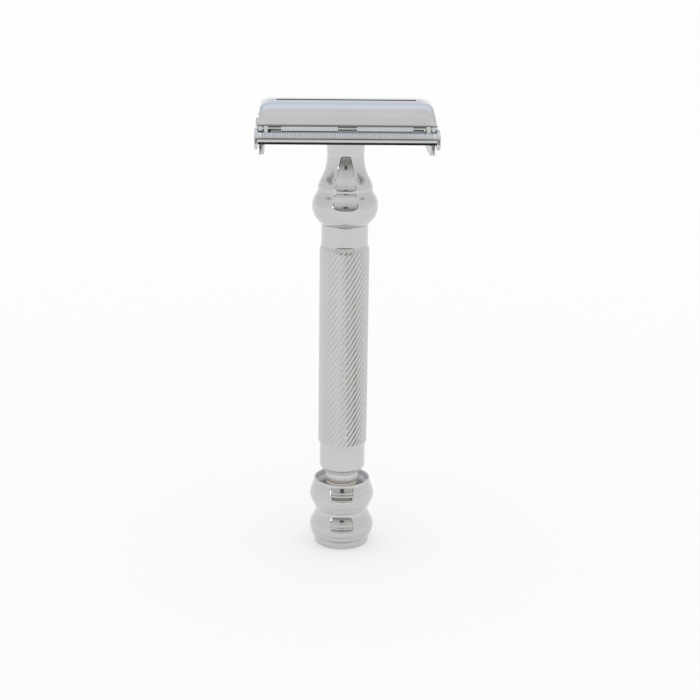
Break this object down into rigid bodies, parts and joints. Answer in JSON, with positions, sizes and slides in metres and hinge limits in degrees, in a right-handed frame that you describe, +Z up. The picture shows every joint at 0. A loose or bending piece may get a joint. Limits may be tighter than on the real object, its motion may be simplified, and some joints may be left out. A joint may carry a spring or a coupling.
{
  "type": "safety razor",
  "caption": "Twist-to-open double-edge safety razor: a turning knob lifts a yoke so that two hinged doors swing open over the blade.",
  "frame": {"origin": "centre of the flat end of the turning knob, on which the razor stands", "axes": "+Z up along the handle, +X along the head, the front door faces -Y"},
  "size_m": [0.0456, 0.026, 0.1191],
  "materials": {
    "chrome_plate": "polished chrome plate on brass",
    "satin_chrome": "satin chrome plate, turned and rolled",
    "turned_brass": "bare turned brass",
    "plain_steel": "turned steel",
    "blade_steel": "ground stainless strip"
  },
  "bodies": {
    "handle": {"handle_barrel": "satin_chrome", "neck_collar": "chrome_plate", "thread_bush": "turned_brass", "guard_plate": "chrome_plate", "guard_rivets": "plain_steel", "left_end_plate": "chrome_plate", "right_end_plate": "chrome_plate", "razor_blade": "blade_steel"},
    "yoke": {"yoke_bar": "chrome_plate", "left_cheek": "chrome_plate", "right_cheek": "chrome_plate", "front_pivot_pins": "plain_steel", "rear_pivot_pins": "plain_steel"},
    "knob": {"drive_rod": "plain_steel", "thrust_collar": "turned_brass", "thrust_washer": "turned_brass", "rod_nut": "plain_steel", "knob_shell": "chrome_plate", "knob_end_cap": "chrome_plate", "knob_lock_screw": "plain_steel"},
    "front_door": {"front_door": "chrome_plate"},
    "rear_door": {"rear_door": "chrome_plate"}
  },
  "joints": [
    {"name": "yoke_lift", "type": "slide", "parent": "handle", "child": "yoke", "axis": [0, 0, 1], "range_m": [0, 0.0035], "deforming": ["razor_blade"]},
    {"name": "knob_turn", "type": "hinge", "parent": "yoke", "child": "knob", "pos_m": [0, 0, 0.01], "axis": [0, 0, -1], "range_deg": [0, 720]},
    {"name": "front_door_swing", "type": "hinge", "parent": "yoke", "child": "front_door", "pos_m": [0, -0.0099, 0.11185], "axis": [1, 0, 0], "range_deg": [0, 70]},
    {"name": "rear_door_swing", "type": "hinge", "parent": "yoke", "child": "rear_door", "pos_m": [0, 0.0099, 0.11185], "axis": [-1, 0, 0], "range_deg": [0, 70]}
  ],
  "couplings": [
    {"joint": "knob_turn", "follows": "yoke_lift", "rad_per_m": 3590.4},
    {"joint": "front_door_swing", "follows": "yoke_lift", "rad_per_m": 349.07},
    {"joint": "rear_door_swing", "follows": "yoke_lift", "rad_per_m": 349.07}
  ]
}
